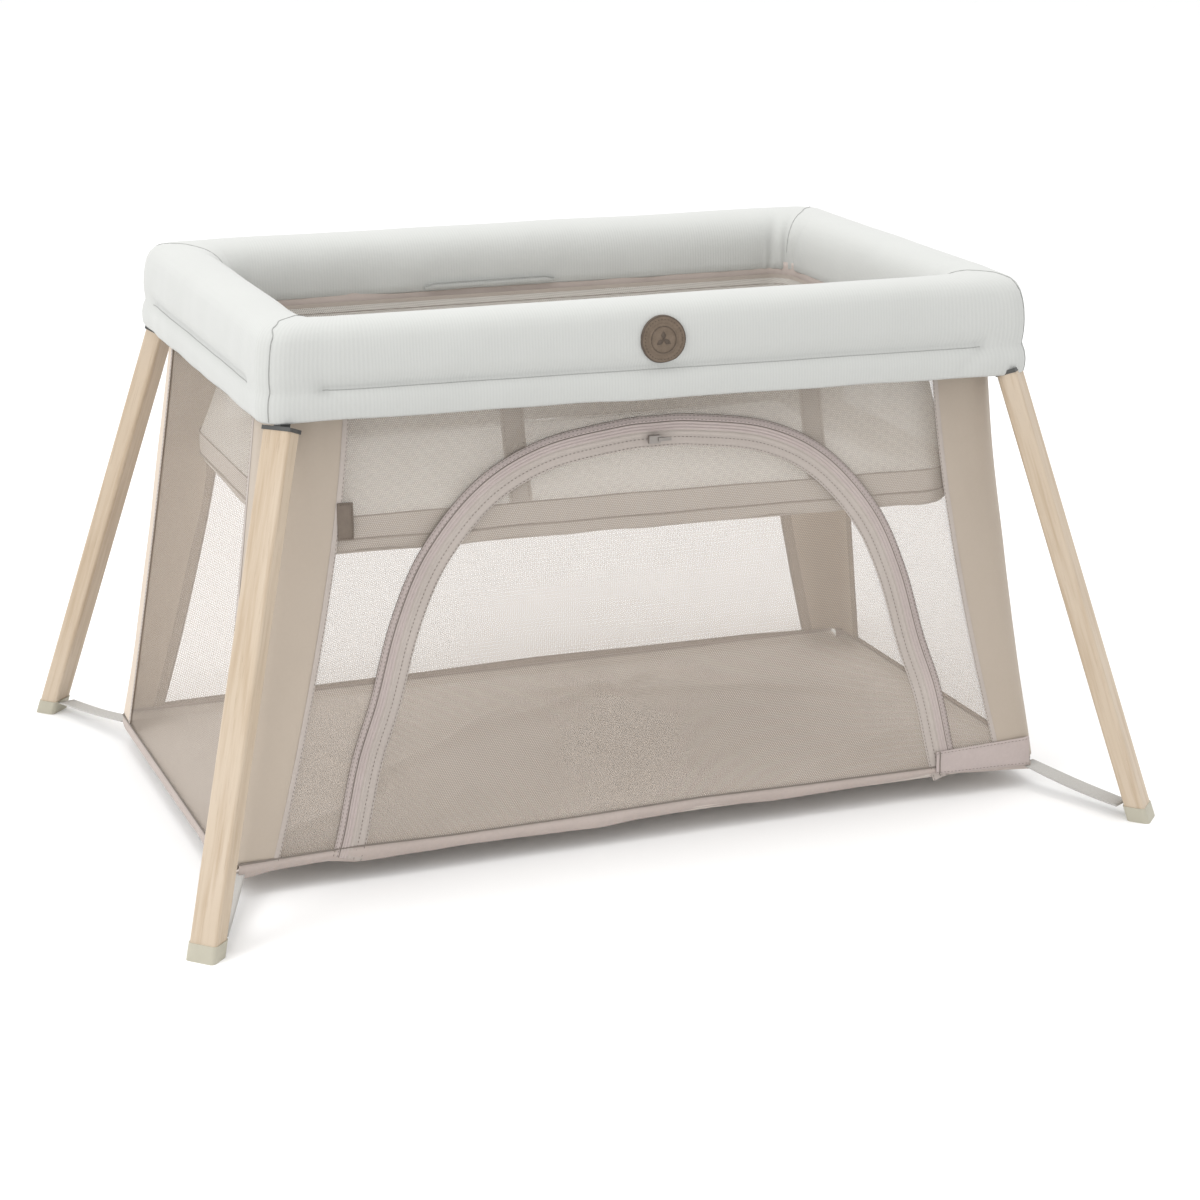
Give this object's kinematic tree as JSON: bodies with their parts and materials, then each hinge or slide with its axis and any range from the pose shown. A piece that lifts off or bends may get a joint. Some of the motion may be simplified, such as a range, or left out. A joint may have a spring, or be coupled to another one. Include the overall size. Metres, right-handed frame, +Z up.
{
  "type": "playpen",
  "caption": "Folding playpen with splayed legs, padded top rail, mesh walls with a zipped arched doorway, fabric floor and a hanging bassinet insert.",
  "frame": {"origin": "on the ground, in the middle between the four feet", "axes": "+X along the long side to the right seen from the doorway, +Y to the back, +Z up"},
  "size_m": [1.2052, 0.8872, 0.65],
  "materials": {
    "frame_tube": "satin anodised",
    "dark_plastic": "fine moulded texture",
    "pin_steel": "brushed",
    "latch_plastic": "fine moulded texture",
    "leg_wood": "pale ash, satin lacquer",
    "foot_plastic": "satin",
    "cover_fabric": "fine ribbed knit",
    "badge_leather": "embossed",
    "panel_fabric": "woven canvas",
    "mesh_fabric": "open mesh",
    "zip_tape": "woven tape",
    "zip_metal": "satin",
    "floor_fabric": "woven",
    "strap_webbing": "flat webbing",
    "bassinet_fabric": "open mesh with woven bands",
    "mattress_fabric": "quilted knit"
  },
  "bodies": {
    "left_end": {"end_rail_left": "frame_tube", "bracket_front_left": "dark_plastic", "bracket_back_left": "dark_plastic", "hinge_pins_left": "pin_steel", "cover_end_left": "cover_fabric", "column_front_left": "panel_fabric", "column_back_left": "panel_fabric", "wall_end_left": "mesh_fabric", "wall_front": "mesh_fabric", "wall_back": "mesh_fabric", "zip_track": "zip_tape", "floor_panel": "floor_fabric", "zip_band": "zip_tape", "foot_straps_left": "strap_webbing"},
    "left_rails": {"rail_front_left": "frame_tube", "rail_back_left": "frame_tube", "rail_ends_left": "dark_plastic", "hinge_forks": "dark_plastic", "centre_pins": "pin_steel", "cover_front_left": "cover_fabric", "cover_back_left": "cover_fabric", "badge": "badge_leather"},
    "right_rails": {"rail_front_right": "frame_tube", "rail_back_right": "frame_tube", "rail_ends_right": "dark_plastic", "hinge_tongues": "dark_plastic", "cover_front_right": "cover_fabric", "cover_back_right": "cover_fabric"},
    "right_end": {"end_rail_right": "frame_tube", "bracket_front_right": "dark_plastic", "bracket_back_right": "dark_plastic", "hinge_pins_right": "pin_steel", "cover_end_right": "cover_fabric", "column_front_right": "panel_fabric", "column_back_right": "panel_fabric", "wall_end_right": "mesh_fabric", "foot_straps_right": "strap_webbing"},
    "front_latch": {"latch_button_front": "latch_plastic"},
    "back_latch": {"latch_button_back": "latch_plastic"},
    "door": {"door_flap": "mesh_fabric"},
    "guard": {"zip_guard": "zip_tape"},
    "slider": {"zip_slider": "zip_metal"},
    "bassinet": {"bassinet_shell": "bassinet_fabric"},
    "mattress": {"bassinet_mattress": "mattress_fabric"},
    "front_left_leg": {"leg_front_left": "leg_wood", "leg_knuckle_front_left": "dark_plastic", "foot_cap_front_left": "foot_plastic"},
    "front_right_leg": {"leg_front_right": "leg_wood", "leg_knuckle_front_right": "dark_plastic", "foot_cap_front_right": "foot_plastic"},
    "back_left_leg": {"leg_back_left": "leg_wood", "leg_knuckle_back_left": "dark_plastic", "foot_cap_back_left": "foot_plastic"},
    "back_right_leg": {"leg_back_right": "leg_wood", "leg_knuckle_back_right": "dark_plastic", "foot_cap_back_right": "foot_plastic"}
  },
  "joints": [
    {"name": "frame_fold", "type": "hinge", "parent": "left_end", "child": "left_rails", "pos_m": [-0.385, 0, 0.608], "axis": [0, 1, 0], "range_deg": [-84, 0], "deforming": ["cover_end_left", "column_front_left", "column_back_left", "wall_end_left", "wall_front", "wall_back", "zip_track", "floor_panel", "zip_band", "foot_straps_left", "cover_front_left", "cover_back_left", "bassinet_shell", "bassinet_mattress", "door_flap", "zip_guard"]},
    {"name": "centre_fold", "type": "hinge", "parent": "left_rails", "child": "right_rails", "pos_m": [0, 0, 0.57], "axis": [0, 1, 0], "range_deg": [0, 168]},
    {"name": "right_fold", "type": "hinge", "parent": "right_rails", "child": "right_end", "pos_m": [0.385, 0, 0.608], "axis": [0, 1, 0], "range_deg": [-84, 0], "deforming": ["cover_end_right", "cover_front_right", "cover_back_right", "column_front_right", "column_back_right", "wall_end_right", "foot_straps_right"]},
    {"name": "front_left_leg_fold", "type": "hinge", "parent": "left_end", "child": "front_left_leg", "pos_m": [-0.44044, -0.27623, 0.56], "axis": [-0.9533, -0.1266, 0.2742], "range_deg": [-92.2, 0]},
    {"name": "front_right_leg_fold", "type": "hinge", "parent": "right_end", "child": "front_right_leg", "pos_m": [0.44044, -0.27623, 0.56], "axis": [-0.9533, 0.1266, -0.2742], "range_deg": [-92.2, 0]},
    {"name": "back_left_leg_fold", "type": "hinge", "parent": "left_end", "child": "back_left_leg", "pos_m": [-0.44044, 0.27623, 0.56], "axis": [0.9695, 0, -0.2451], "range_deg": [-74.3, 0]},
    {"name": "back_right_leg_fold", "type": "hinge", "parent": "right_end", "child": "back_right_leg", "pos_m": [0.44044, 0.27623, 0.56], "axis": [0.9695, 0, 0.2451], "range_deg": [-74.3, 0]},
    {"name": "front_latch_press", "type": "slide", "parent": "right_rails", "child": "front_latch", "axis": [0, -1, 0], "range_m": [0, 0.004], "stiffness_N_per_m": 300, "springref_m": -0.001},
    {"name": "back_latch_press", "type": "slide", "parent": "right_rails", "child": "back_latch", "axis": [0, 1, 0], "range_m": [0, 0.004], "stiffness_N_per_m": 300, "springref_m": -0.001},
    {"name": "door_open", "type": "hinge", "parent": "left_end", "child": "door", "pos_m": [0, -0.27907, 0.04], "axis": [1, 0, 0], "range_deg": [0, 94]},
    {"name": "guard_open", "type": "hinge", "parent": "left_end", "child": "guard", "pos_m": [0.374, -0.2836, 0.048], "axis": [0, 0, -1], "range_deg": [0, 110]},
    {"name": "zip_slide", "type": "slide", "parent": "left_end", "child": "slider", "axis": [1, 0, 0], "range_m": [-0.06, 0.045]},
    {"name": "bassinet_lift", "type": "slide", "parent": "left_end", "child": "bassinet", "axis": [0, 0, 1], "range_m": [0, 0.3]},
    {"name": "mattress_lift", "type": "slide", "parent": "bassinet", "child": "mattress", "axis": [0, 0, 1], "range_m": [0, 0.2]}
  ],
  "couplings": [
    {"joint": "centre_fold", "follows": "frame_fold", "ratio": -2},
    {"joint": "right_fold", "follows": "frame_fold", "ratio": 1}
  ]
}
